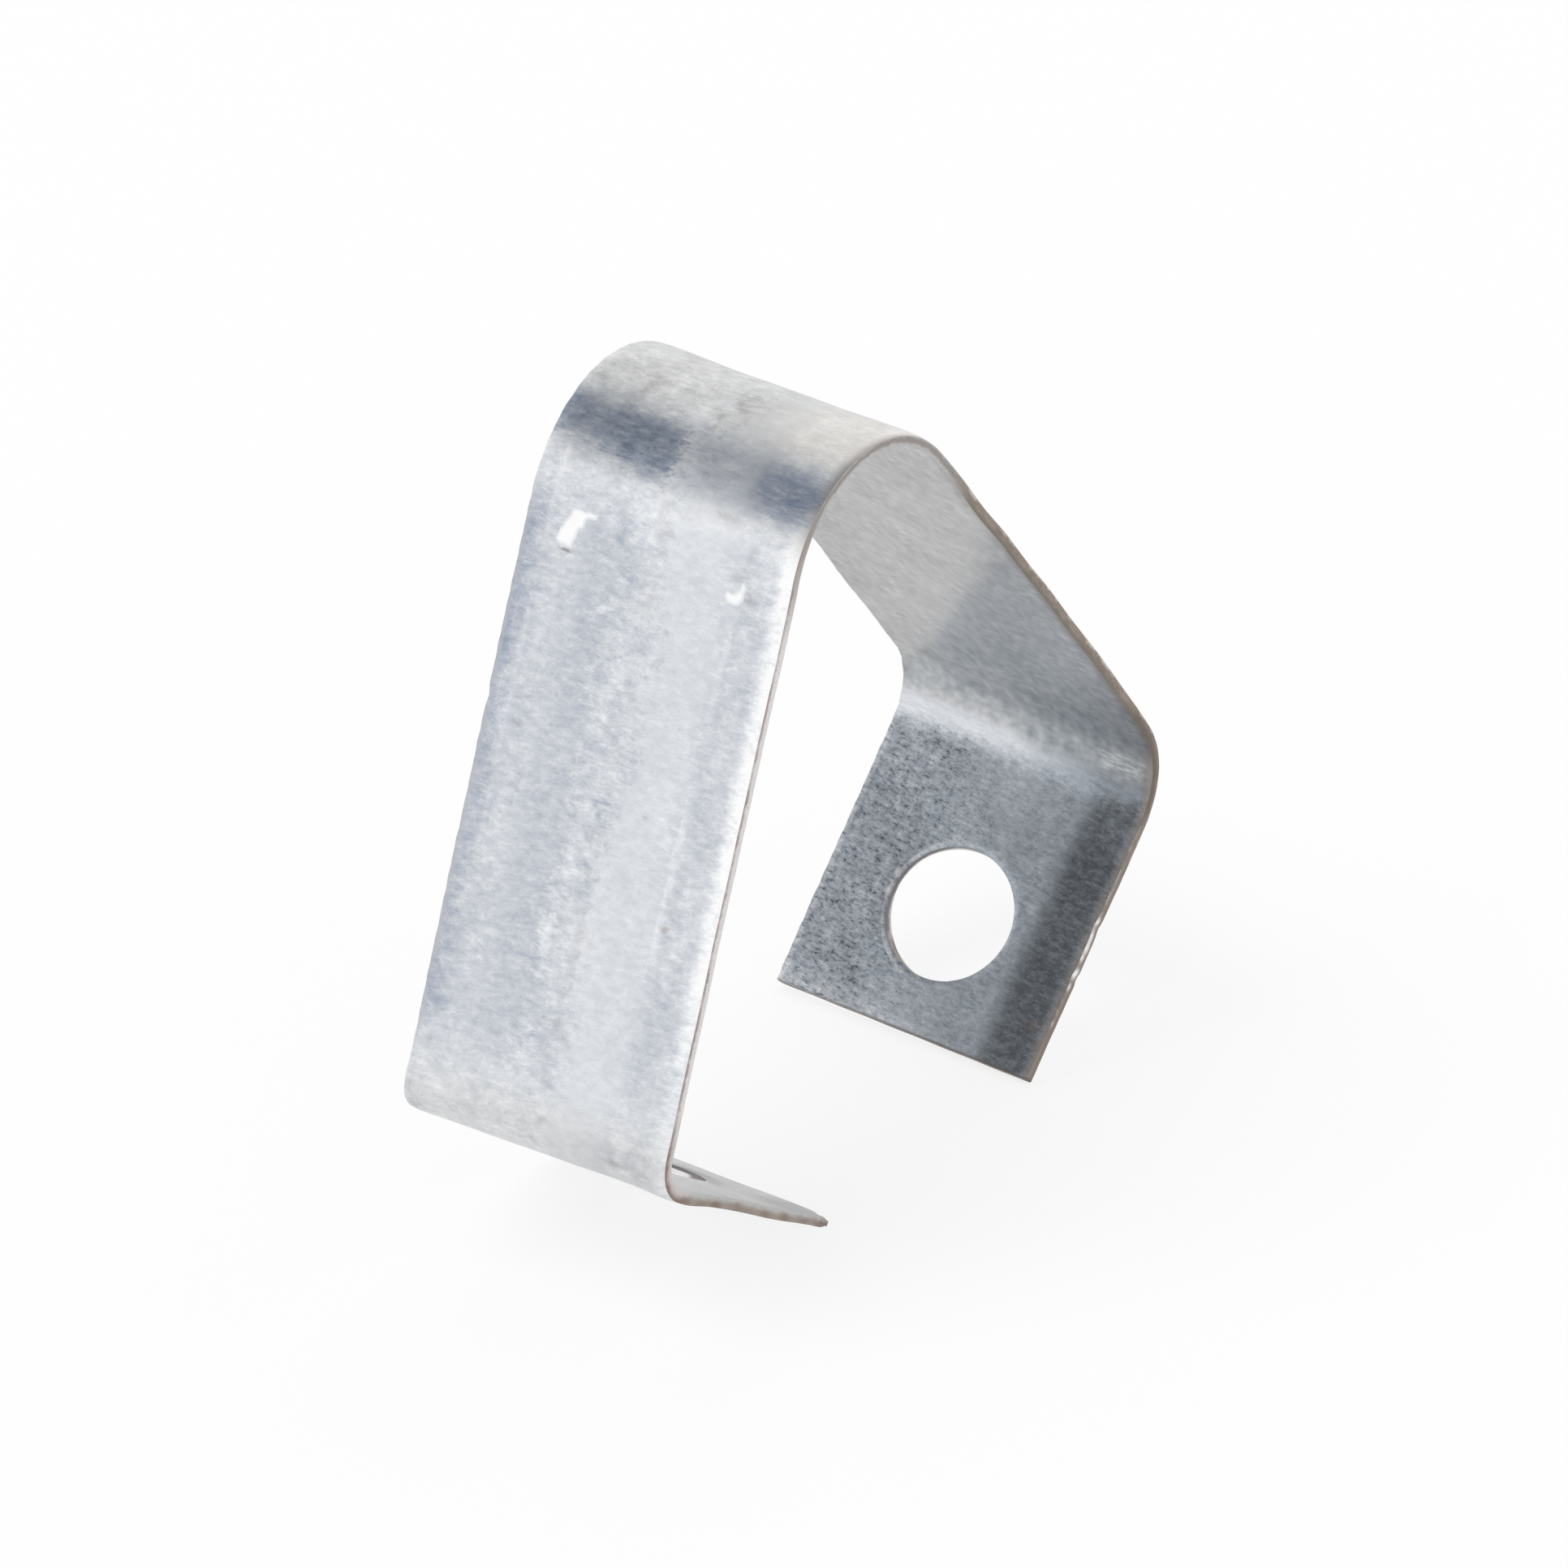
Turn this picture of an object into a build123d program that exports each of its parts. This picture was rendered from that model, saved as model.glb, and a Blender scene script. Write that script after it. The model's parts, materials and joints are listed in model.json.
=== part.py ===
from build123d import *
from math import atan2, degrees
import os

# Pipe clamp for a sprinkler line, folded as one piece from galvanized steel strap.
# The rounded top is the seat of the pipe. Two straight legs leave it and end in ears that
# turn inwards, each with a hole for the hanger rod. The clamp stands on its two ear ends.
# Sizes are in millimetres and degrees. The origin is on the pipe's axis, in the middle of
# the strap's width: X runs along the pipe, Y from the front leg to the back leg, Z up.

# Strap as slit from the coil
strap_width = 25.4
strap_thickness = 1.0
edge_roll_width = 1.2
edge_roll_depth = 0.1

# Seat of the pipe, a stretch of the inner face
pipe_diameter = 21.3
seat_wrap = 122.2

# Straight stretches, measured on the inner face
front_leg_flat = 47.6
back_leg_flat = 48.6
front_ear_flat = 24.2
back_ear_flat = 23.2

# Folds from the legs to the ears, with inside radii
front_bend_radius = 2.5
front_bend_angle = 78.5
back_bend_radius = 5.9
back_bend_angle = 80.6

# Rod holes in the ears, placed from each free end
rod_hole_diameter = 11.5
rod_hole_to_end = 10.35

pipe_direction = Vector(1, 0, 0)


def draw_straight(start, heading, length):
    """Draw a straight stretch of the inner face."""
    return Line(start, start + heading * length)


def draw_inner_face():
    """Draw the inner face from the back ear's end over the seat to the front ear's end."""
    back_ear = Line((0, 0), (back_ear_flat, 0))
    back_bend = JernArc(back_ear @ 1, back_ear % 1, back_bend_radius, back_bend_angle)
    back_leg = draw_straight(back_bend @ 1, back_bend % 1, back_leg_flat)
    seat = JernArc(back_leg @ 1, back_leg % 1, pipe_diameter / 2, seat_wrap)
    front_leg = draw_straight(seat @ 1, seat % 1, front_leg_flat)
    front_bend = JernArc(front_leg @ 1, front_leg % 1, front_bend_radius, front_bend_angle)
    front_ear = draw_straight(front_bend @ 1, front_bend % 1, front_ear_flat)
    return back_ear, back_bend, back_leg, seat, front_leg, front_bend, front_ear


def strap_section(start, heading):
    """Cross-section of the strap, square to the heading, with the outer face on local +Y."""
    with BuildSketch(Plane(origin=start, x_dir=pipe_direction, z_dir=heading)) as section:
        with BuildLine():
            outer_face = Line((0, strap_thickness), (strap_width / 2 - edge_roll_width, strap_thickness))
            roll_end = (strap_width / 2, strap_thickness - edge_roll_depth)
            rolled_edge = TangentArc(outer_face @ 1, roll_end, tangent=outer_face % 1)
            slit_edge = Line(rolled_edge @ 1, (strap_width / 2, 0))
            Line(slit_edge @ 1, (0, 0))
            mirror(about=Plane.YZ)
        make_face()
    return section.sketch


# A first layout gives the seat's centre, which becomes the origin, and the line through
# the outer corners of both ear ends, which becomes level.
with BuildLine() as layout:
    back_ear, _, _, seat, _, _, front_ear = draw_inner_face()
seat_centre = seat.arc_center
back_foot = back_ear @ 0 + (back_ear % 0).rotate(Axis.Z, -90) * strap_thickness
front_foot = front_ear @ 1 + (front_ear % 1).rotate(Axis.Z, -90) * strap_thickness
stance = back_foot - front_foot
stand_tilt = degrees(atan2(stance.Y, stance.X))
level_plane = Plane.YZ.rotated((-stand_tilt, 0, 0))
seat_offset = level_plane.from_local_coords(seat_centre)
side_plane = Plane(origin=-seat_offset, x_dir=level_plane.x_dir, z_dir=level_plane.z_dir)

with BuildPart() as clamp_strap:
    with BuildLine(side_plane) as inner_face:
        back_ear, back_bend, back_leg, seat, front_leg, front_bend, front_ear = draw_inner_face()

    for flat in (back_ear, back_leg, front_leg, front_ear):
        extrude(strap_section(flat @ 0, flat % 0), amount=flat.length)

    for bend, bend_angle in (
        (back_bend, back_bend_angle),
        (seat, seat_wrap),
        (front_bend, front_bend_angle),
    ):
        bend_axis = Axis(bend.arc_center, pipe_direction)
        revolve(strap_section(bend @ 0, bend % 0), axis=bend_axis, revolution_arc=bend_angle)

    # Both ears are punched square to their faces, from the inner face outwards.
    back_hole_plane = Plane(
        origin=back_ear @ 0 + (back_ear % 0) * rod_hole_to_end,
        x_dir=pipe_direction,
        z_dir=(back_ear % 0).cross(pipe_direction),
    )
    front_hole_plane = Plane(
        origin=front_ear @ 1 - (front_ear % 1) * rod_hole_to_end,
        x_dir=pipe_direction,
        z_dir=(front_ear % 1).cross(pipe_direction),
    )
    with BuildSketch(back_hole_plane, front_hole_plane) as rod_holes:
        Circle(rod_hole_diameter / 2)
    extrude(amount=strap_thickness, mode=Mode.SUBTRACT)

clamp_strap.part.label = "clamp_strap"

os.makedirs("parts", exist_ok=True)
export_step(clamp_strap.part, "parts/clamp_strap.step")
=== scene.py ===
import json
from math import acos, cos, pi, radians, sin, tan, tau

import bmesh
import bpy
import numpy as np
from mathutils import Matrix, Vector


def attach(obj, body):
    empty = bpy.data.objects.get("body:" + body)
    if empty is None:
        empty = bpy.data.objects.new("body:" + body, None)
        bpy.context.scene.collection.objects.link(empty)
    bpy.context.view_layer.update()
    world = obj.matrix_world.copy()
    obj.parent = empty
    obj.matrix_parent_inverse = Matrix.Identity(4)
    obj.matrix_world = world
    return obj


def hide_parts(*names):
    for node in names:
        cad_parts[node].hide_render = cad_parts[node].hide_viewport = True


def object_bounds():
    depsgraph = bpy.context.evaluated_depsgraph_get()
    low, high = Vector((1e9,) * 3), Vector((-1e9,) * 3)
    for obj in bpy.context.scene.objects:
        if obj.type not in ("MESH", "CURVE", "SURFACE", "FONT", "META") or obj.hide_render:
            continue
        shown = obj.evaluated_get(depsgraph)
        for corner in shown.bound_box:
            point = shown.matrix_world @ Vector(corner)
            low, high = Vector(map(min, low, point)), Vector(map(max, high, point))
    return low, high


# Looks of a galvanized sprinkler pipe clamp, folded from one strap of sheet steel.
# Lengths are in metres and angles in radians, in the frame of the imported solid: X runs
# along the pipe, Y from the front leg to the back leg, Z up.
# Places on the strap are given as along, across and height. Along is measured from the
# middle of the seat, positive to the front ear's end. Across is X. Height is measured
# from the inner face, so the outer face is at the sheet's thickness.
# In the materials, places are in mm, and levels run from 0 to 255 as on a screen.

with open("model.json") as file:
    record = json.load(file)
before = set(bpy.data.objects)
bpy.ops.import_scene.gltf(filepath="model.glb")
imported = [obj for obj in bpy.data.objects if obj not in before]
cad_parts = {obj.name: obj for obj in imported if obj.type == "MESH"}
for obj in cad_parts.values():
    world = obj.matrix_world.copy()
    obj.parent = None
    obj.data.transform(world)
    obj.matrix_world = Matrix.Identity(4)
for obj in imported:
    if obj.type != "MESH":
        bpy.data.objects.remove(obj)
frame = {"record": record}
cad_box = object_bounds()
mounts = {mount["name"]: mount for mount in frame["record"]["mounts"]}

MM = 0.001
NODE = "clamp_strap"

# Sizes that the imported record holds
HALF_WIDTH = mounts["pipe_seat"]["dims"]["length_mm"] * MM / 2
SEAT_RADIUS = mounts["pipe_seat"]["dims"]["r_mm"] * MM
THICKNESS = mounts["back_ear_hole"]["dims"]["length_mm"] * MM
HOLE_RADIUS = mounts["back_ear_hole"]["dims"]["r_mm"] * MM

# Sizes of the holes and slit edges, the same as the solid's
HOLE_TO_END = 10.35 * MM
EDGE_ROLL_WIDTH = 1.2 * MM
EDGE_ROLL_DEPTH = 0.1 * MM

# Small unevenness of the real strap: its sheet, corners, holes and worn edges
HOLE_DRIFT = -0.12 * MM
WAVE_COUNT = 14
WAVE_LENGTHS = (7, 26)
WAVE_HEIGHT = 0.012 * MM
CORNER_RADIUS = 0.12 * MM
FRONT_CORNER_RADIUS = 0.45 * MM
HOLE_RISE = 0.985
HOLE_BREAK = 0.45 * MM
HOLE_WIDENING = 0.26 * MM
SEAT_EDGE_INSET = 0.26 * MM
SEAT_ROLL_SHARE = 0.12
TIP_SHARE = 0.55

# Shallow bulges and dents, in mm: along, across, half length, half width and height
EDGE = HALF_WIDTH / MM
BULGES = [
    (-0.5, -EDGE, 4.5, 6, 0.26), (-49, EDGE, 8, 12, 0.12), (-61, EDGE, 2.5, 9, -0.15),
    (61.2, -EDGE, 2.2, 3.5, 0.2), (64, EDGE, 2.5, 3, 0.22), (61.5, -6, 2.5, 8, 0.1),
    (-22, EDGE, 4, 5, -0.14), (-6.5, 0, 5, 20, -0.08), (-1.5, EDGE, 5, 1.5, 0.12),
]


def turned(direction, angle):
    """A direction in the Y-Z plane, turned anticlockwise as seen from +X."""
    y, z = direction[..., 0], direction[..., 1]
    c, s = np.cos(angle), np.sin(angle)
    return np.stack([y * c - z * s, y * s + z * c], axis=-1)


def smooth_step(value, low, high):
    """0 below low, 1 above high and a smooth rise between them."""
    t = np.clip((value - low) / (high - low), 0, 1)
    return t * t * (3 - 2 * t)


class Arm:
    """The strap on one side of the seat's middle: half the seat, a leg, a fold and an ear."""

    bow = skew = ear_skew = ear_short = radius_skew = twist = lean = 0.0

    def __init__(self, mount, spin, **sizes):
        vars(self).update(sizes)
        self.spin = spin
        self.outward = turned(np.array(mounts[mount]["axis"][1:]), -spin * self.bend_angle)

    def measure(self, middle, half_wrap):
        """Work out where each stretch starts, as a distance from the seat's middle."""
        self.middle, self.half_wrap = middle, half_wrap
        self.leg_start = SEAT_RADIUS * half_wrap
        self.bend_start = self.leg_start + self.leg
        self.ear_start = self.bend_start + self.bend_radius * self.bend_angle
        self.end = self.ear_start + self.ear
        self.hole = self.end - HOLE_TO_END

    def place(self, distance, share, height):
        """Points in the Y-Z plane. Share runs from -1 to 1 across the strap."""
        seat = np.clip(distance / self.leg_start, 0, 1)
        leg = np.clip((distance - self.leg_start) / self.leg, 0, 1)
        bend = np.clip((distance - self.bend_start) / (self.ear_start - self.bend_start), 0, 1)
        ear = np.clip((distance - self.ear_start) / self.ear, 0, 1)

        middle = np.broadcast_to(self.middle, distance.shape + (2,))
        outward = turned(middle, (self.spin * self.half_wrap + self.lean * share) * seat)
        ahead = turned(outward, self.spin * pi / 2)
        bowed = self.bow * (4 * leg * (1 - leg)) ** 2
        cut_short = self.radius_skew * share * tan(self.bend_angle / 2)
        leg_length = self.leg + self.skew * share - cut_short
        ear_length = self.ear - self.ear_short + self.ear_skew * share - cut_short
        point = outward * (SEAT_RADIUS + height + bowed)[..., None]
        point += ahead * (leg_length * leg)[..., None]

        turn = (self.bend_angle + self.twist * share) * bend
        radius = self.bend_radius + self.radius_skew * share + height
        point += outward * (radius * (np.cos(turn) - 1))[..., None]
        point += ahead * (radius * np.sin(turn))[..., None]
        ear_ahead = ahead * np.cos(turn)[..., None] - outward * np.sin(turn)[..., None]
        return point + ear_ahead * (ear_length * ear)[..., None]


# The sizes of the fold are the solid's. From bow on, they are small unevenness of the real strap.
FRONT = Arm(
    "front_ear_hole", 1, leg=47.6 * MM, bend_radius=2.5 * MM, bend_angle=radians(78.5),
    ear=24.2 * MM, bow=0.08 * MM, skew=-0.2 * MM, ear_skew=-0.15 * MM, radius_skew=0.4 * MM,
    twist=radians(-0.25),
)
BACK = Arm(
    "back_ear_hole", -1, leg=48.6 * MM, bend_radius=5.9 * MM, bend_angle=radians(80.6),
    ear=23.2 * MM, bow=0.15 * MM, ear_skew=0.08 * MM, ear_short=0.13 * MM, radius_skew=0.5 * MM,
    lean=radians(-0.15),
)
seat_middle = FRONT.outward + BACK.outward
seat_middle /= np.linalg.norm(seat_middle)
half_wrap = acos(float(FRONT.outward @ BACK.outward)) / 2
for arm in (FRONT, BACK):
    arm.measure(seat_middle, half_wrap)


def sheet_waves(along, across):
    """Slight waviness of the sheet: a few seeded plane waves, and the bulges and dents."""
    random = np.random.default_rng(11)
    waves = np.zeros(np.broadcast(along, across).shape)
    for _ in range(WAVE_COUNT):
        wavelength = random.uniform(*WAVE_LENGTHS) * MM
        heading = random.uniform(0, tau)
        phase = random.uniform(0, tau)
        run = along * cos(heading) + across * sin(heading)
        waves += np.sin(run * tau / wavelength + phase)
    waves *= WAVE_HEIGHT
    for bulge_along, bulge_across, half_length, half_width, height in np.array(BULGES) * MM:
        apart = ((along - bulge_along) / half_length) ** 2 + ((across - bulge_across) / half_width) ** 2
        waves += height * np.exp(-apart)
    return waves


def place(along, across, height):
    """Points of the strap in space, for places given as along, across and height."""
    along, across, height = np.broadcast_arrays(along, across, height)
    height = height + sheet_waves(along, across)
    share = across / HALF_WIDTH
    points = np.zeros(along.shape + (3,))
    points[..., 0] = across
    for arm in (FRONT, BACK):
        mine = arm.spin * along >= 0
        points[mine, 1:] = arm.place(arm.spin * along[mine], share[mine], height[mine])
    return points


def spaced(stops, steps):
    """Numbers from stop to stop, with about the given step in each stretch."""
    numbers = [stops[0]]
    for low, high, step in zip(stops, stops[1:], steps):
        count = max(1, round(abs(high - low) / step))
        numbers.extend(np.linspace(low, high, count + 1)[1:])
    return np.array(numbers)


# Nicks in the slit edges: side (-1 left, 1 right), and along, width and depth in mm
EDGE_NICKS = [(-1, 28.0, 1.2, 0.14), (1, -77.5, 1.0, 0.12), (1, -82.0, 0.8, 0.1)]

# Ripples of the slit edges and the ear ends
EDGE_INSET = 0.02 * MM
EDGE_RIPPLES = (31 * MM, 12 * MM, 4.3 * MM, 1.9 * MM)
EDGE_RIPPLE_DEPTH = 0.005 * MM
LEFT_RIPPLES = (2.7 * MM, 1.6 * MM)
LEFT_RIPPLE_DEPTH = 0.018 * MM
END_RIPPLE = 5.3 * MM
END_RIPPLE_DEPTH = 0.01 * MM


def on_seat(along):
    """1 round the seat, fading out along the legs."""
    return smooth_step(along, -20 * MM, -8 * MM) * (1 - smooth_step(along, 6 * MM, 13 * MM))


def edge_inset(along, side):
    """How far the slit edge lies inside the strap's full width."""
    random = np.random.default_rng(5)
    inset = np.full(np.shape(along), EDGE_INSET)
    for wavelength in EDGE_RIPPLES:
        phase = random.uniform(0, tau) + side
        inset += EDGE_RIPPLE_DEPTH * np.sin(along * tau / wavelength + phase)
    for nick_side, nick_along, width, depth in EDGE_NICKS:
        apart = (along / MM - nick_along) / width
        inset += np.where(side == nick_side, depth * MM, 0.0) * np.exp(-4 * apart**2)
    for wavelength in LEFT_RIPPLES:
        inset += np.where(side < 0, LEFT_RIPPLE_DEPTH, 0.0) * np.sin(along * tau / wavelength)
    return inset + np.where(side > 0, SEAT_EDGE_INSET, 0.0) * on_seat(along)


def end_inset(along, across):
    """How far an ear's end lies inside its full length, with its corners rounded."""
    radius = np.where(along > 0, FRONT_CORNER_RADIUS, CORNER_RADIUS)
    past = np.clip(np.abs(across) - (HALF_WIDTH - radius), 0.0, radius)
    corner = radius - np.sqrt(radius**2 - past**2)
    return END_RIPPLE_DEPTH * (1 + np.sin(across * tau / END_RIPPLE)) + corner


def add_object(name, data):
    """Put a mesh, camera or lamp into the scene."""
    thing = bpy.data.objects.new(name, data)
    bpy.context.scene.collection.objects.link(thing)
    return thing


def make_mesh(name, points, faces, places):
    """A smooth mesh that carries the place of each point on the strap."""
    mesh = bpy.data.meshes.new(name)
    mesh.from_pydata(points, [], faces.tolist())
    mesh.polygons.foreach_set("use_smooth", np.ones(len(mesh.polygons), dtype=bool))
    layer = mesh.attributes.new("place", "FLOAT_VECTOR", "POINT")
    layer.data.foreach_set("vector", places.astype(np.float32).ravel())
    return mesh


OUTER, INNER, CUT = range(3)
SHARP_ANGLE = radians(38)


class StrapMesh:
    """Collects the vertices and faces of the strap."""

    def __init__(self):
        self.points, self.places, self.faces, self.sides = [], [], [], []
        self.count = 0

    def vertices(self, along, across, height):
        """Add vertices for arrays of one shape, and return their numbers in that shape."""
        along, across, height = np.broadcast_arrays(along, across, height)
        side = np.sign(across)
        near_edge = smooth_step(np.abs(across), HALF_WIDTH - 2 * MM, HALF_WIDTH - 0.2 * MM)
        cut_across = across - side * near_edge * edge_inset(along, side)
        from_end = np.where(along > 0, FRONT.end - along, BACK.end + along)
        near_end = 1 - smooth_step(from_end, 0.0, 2 * MM)
        cut_along = along - np.sign(along) * near_end * end_inset(along, across)
        # Round the seat the right edge is worn down, and the sheet thinner there
        worn = np.clip((across - HALF_WIDTH + EDGE_ROLL_WIDTH) / EDGE_ROLL_WIDTH, 0, 1) ** 2
        thinned = height * (1 - SEAT_ROLL_SHARE * worn * on_seat(along))
        # The front ear's right corner is worn to a rounded nose
        at_tip = np.where(along > 0, 1 - smooth_step(from_end, 0.0, 1.8 * MM), 0.0) ** 2
        at_tip *= smooth_step(across, HALF_WIDTH - 2 * MM, HALF_WIDTH - 0.5 * MM)
        thinned = THICKNESS / 2 + (thinned - THICKNESS / 2) * (1 - TIP_SHARE * at_tip)
        self.points.append(place(cut_along, cut_across, thinned).reshape(-1, 3))
        self.places.append(np.stack([cut_across, cut_along, height], axis=-1).reshape(-1, 3) / MM)
        numbers = self.count + np.arange(along.size).reshape(along.shape)
        self.count += along.size
        return numbers

    def quads(self, numbers, side, skip=None):
        """Add faces between neighbours of a grid of vertex numbers."""
        corners = np.stack(
            [numbers[:-1, :-1], numbers[1:, :-1], numbers[1:, 1:], numbers[:-1, 1:]], axis=-1
        )
        if skip is not None:
            corners = corners[~skip]
        corners = corners.reshape(-1, 4)
        self.faces.append(corners)
        self.sides.append(np.full(len(corners), side))

    def rings(self, rings, side):
        """Add faces between closed rings of vertex numbers."""
        numbers = np.stack(rings)
        self.quads(np.concatenate([numbers, numbers[:, :1]], axis=1), side)

    def object(self, name):
        """Make the object, with normals outwards and sharp edges where it is cut."""
        mesh = make_mesh(name, *(np.concatenate(part) for part in (self.points, self.faces, self.places)))
        mesh.polygons.foreach_set("material_index", np.concatenate(self.sides).astype(np.int32))
        work = bmesh.new()
        work.from_mesh(mesh)
        bmesh.ops.recalc_face_normals(work, faces=work.faces)
        work.to_mesh(mesh)
        work.free()
        mesh.set_sharp_from_angle(angle=SHARP_ANGLE)
        mesh.update()
        return add_object(name, mesh)


def outer_height(across):
    """Height of the outer face, which rolls down towards the slit edges."""
    into_roll = np.clip(np.abs(across) - (HALF_WIDTH - EDGE_ROLL_WIDTH), 0.0, EDGE_ROLL_WIDTH)
    return THICKNESS - EDGE_ROLL_DEPTH * (into_roll / EDGE_ROLL_WIDTH) ** 2


# Steps of the mesh. The square patch round a hole reaches this far from its centre.
PATCH = 7.5 * MM
FACE_STEP = 0.375 * MM
SEAT_STEP = 0.35 * MM
LEG_STEP = 0.42 * MM
BEND_STEP = 0.25 * MM
EDGE_STEP = 0.15 * MM
RIM_WIDTH = 0.45 * MM
RIM_STEP = 0.09 * MM
CUT_SHARES = np.array([0.75, 0.5, 0.25])

# Punched holes. Headings are taken from the leg's side of the hole, negative to the left.
RIM_RINGS = 9
RING_CROWDING = 1.6
RIM_ROLL_WIDTH = 0.35 * MM
RIM_ROLL_DEPTH = 0.07 * MM
OUTER_RIM_ROLL = 0.3
INNER_RIM_ROLL = -1.0
BREAK_HEADING = radians(-72)
WIDENING_HEADING = radians(-84)
WALL_RIPPLE = 0.012 * MM


def nearest(numbers, wanted):
    return int(np.argmin(np.abs(numbers - wanted)))


def patch_loop(rows, columns, arm):
    """Row and column numbers round the square left open at an ear's hole."""
    centre = arm.spin * arm.hole
    low_row, high_row = nearest(rows, centre - PATCH), nearest(rows, centre + PATCH)
    low_column, high_column = nearest(columns, -PATCH), nearest(columns, PATCH)
    row_run = np.arange(low_row, high_row)
    column_run = np.arange(low_column, high_column)
    row_side, column_side = np.ones_like(row_run), np.ones_like(column_run)
    loop_rows = [low_row * column_side, row_run, high_row * column_side, row_run[::-1] + 1]
    loop_columns = [column_run, high_column * row_side, column_run[::-1] + 1, low_column * row_side]
    return np.concatenate(loop_rows), np.concatenate(loop_columns)


def hole_patch(mesh, outer, inner, rows, columns, arm):
    """Close the square left open round an ear's hole with rings, and add the hole's wall."""
    centre = arm.spin * arm.hole
    loop = patch_loop(rows, columns, arm)
    reach_along = rows[loop[0]] - centre
    reach_across = columns[loop[1]] - HOLE_DRIFT
    heading = np.arctan2(reach_across, reach_along)

    # The punch broke the sheet out at one side of the outer face and widened the inner rim
    from_leg = np.arctan2(reach_across, -arm.spin * reach_along)
    broken = HOLE_BREAK * np.clip(np.cos(from_leg - BREAK_HEADING), 0, 1) ** 4
    widened = HOLE_WIDENING * np.clip(np.cos(from_leg - WIDENING_HEADING), 0, 1) ** 2
    rims = []
    for face, grid, height, roll, grown in (
        (OUTER, outer, THICKNESS, OUTER_RIM_ROLL, broken),
        (INNER, inner, 0.0, INNER_RIM_ROLL, widened),
    ):
        rings = []
        radius = HOLE_RADIUS + grown
        circle_along = radius * HOLE_RISE * np.cos(heading)
        circle_across = radius * np.sin(heading)
        for share in (np.arange(RIM_RINGS) / RIM_RINGS) ** RING_CROWDING:
            along = centre + circle_along + share * (reach_along - circle_along)
            across = HOLE_DRIFT + circle_across + share * (reach_across - circle_across)
            off_rim = np.hypot(along - centre, across - HOLE_DRIFT) - radius
            rolled = RIM_ROLL_DEPTH * np.clip(1 - off_rim / RIM_ROLL_WIDTH, 0, 1) ** 2
            rings.append(mesh.vertices(along, across, height - roll * rolled))
        mesh.rings(rings + [grid[loop]], face)
        rims.append(rings[0])

    # The wall runs from the outer rim to the inner one, a little ragged
    low, high = RIM_ROLL_DEPTH, THICKNESS - OUTER_RIM_ROLL * RIM_ROLL_DEPTH
    wall = [rims[0]]
    for share in CUT_SHARES:
        grown = widened * max(0.0, 1 - share / 0.6) + broken * max(0.0, (share - 0.25) / 0.75)
        radius = HOLE_RADIUS + grown + WALL_RIPPLE * np.sin(9 * heading + 20 * share)
        along = centre + radius * HOLE_RISE * np.cos(heading)
        across = HOLE_DRIFT + radius * np.sin(heading)
        wall.append(mesh.vertices(along, across, low + share * (high - low)))
    mesh.rings(wall + [rims[1]], CUT)


def strap_rows():
    """Stations along the strap, from the back ear's end to the front ear's end."""
    steps = [SEAT_STEP, LEG_STEP, BEND_STEP, FACE_STEP, FACE_STEP, FACE_STEP, EDGE_STEP]
    front, back = (
        spaced([0.0, arm.leg_start, arm.bend_start, arm.ear_start, arm.hole - PATCH, arm.hole + PATCH,
                arm.end - RIM_WIDTH, arm.end], steps)
        for arm in (FRONT, BACK)
    )
    return np.concatenate([-back[::-1], front[1:]])


def strap_columns():
    """Places across the strap, closer together near the slit edges."""
    rim = HALF_WIDTH - RIM_WIDTH
    roll = HALF_WIDTH - EDGE_ROLL_WIDTH
    return spaced(
        [-HALF_WIDTH, -rim, -roll, -PATCH, PATCH, roll, rim, HALF_WIDTH],
        [RIM_STEP, EDGE_STEP, FACE_STEP, FACE_STEP, FACE_STEP, EDGE_STEP, RIM_STEP],
    )


def make_strap():
    """The strap's mesh: a section swept along its stations, with ends and punched holes."""
    mesh = StrapMesh()
    columns = strap_columns()
    rows = strap_rows()
    outer = mesh.vertices(rows[:, None], columns, outer_height(columns))
    inner = mesh.vertices(rows[:, None], columns, 0.0)
    edge_top = THICKNESS - EDGE_ROLL_DEPTH
    walls = {}
    for side, column in ((-1, 0), (1, -1)):
        walls[side] = mesh.vertices(rows[:, None], side * HALF_WIDTH, edge_top * CUT_SHARES)
        strips = [outer[:, column, None], walls[side], inner[:, column, None]]
        mesh.quads(np.concatenate(strips, axis=1), CUT)

    # The faces leave out a square round each hole
    middle_rows = (rows[:-1] + rows[1:]) / 2
    middle_columns = (columns[:-1] + columns[1:]) / 2
    near_holes = [np.abs(middle_rows - arm.spin * arm.hole) < PATCH for arm in (FRONT, BACK)]
    in_patch = (near_holes[0] | near_holes[1])[:, None] & (np.abs(middle_columns) < PATCH)
    mesh.quads(outer, OUTER, skip=in_patch)
    mesh.quads(inner, INNER, skip=in_patch)
    for arm in (FRONT, BACK):
        hole_patch(mesh, outer, inner, rows, columns, arm)

    # Caps of the two ear ends
    across = columns[1:-1]
    for row in (0, -1):
        cap = [outer[row]]
        for number, share in enumerate(CUT_SHARES):
            inside = mesh.vertices(rows[row], across, share * outer_height(across))
            cap.append(np.concatenate([walls[-1][row, number, None], inside, walls[1][row, number, None]]))
        mesh.quads(np.stack(cap + [inner[row]]), CUT)
    return mesh.object("strap")


def display(shade):
    """A colour as it shows on a screen, from 0 to 255, made linear."""
    shares = [value / 255 for value in shade]
    return (*(s / 12.92 if s <= 0.04045 else ((s + 0.055) / 1.055) ** 2.4 for s in shares), 1.0)


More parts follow.
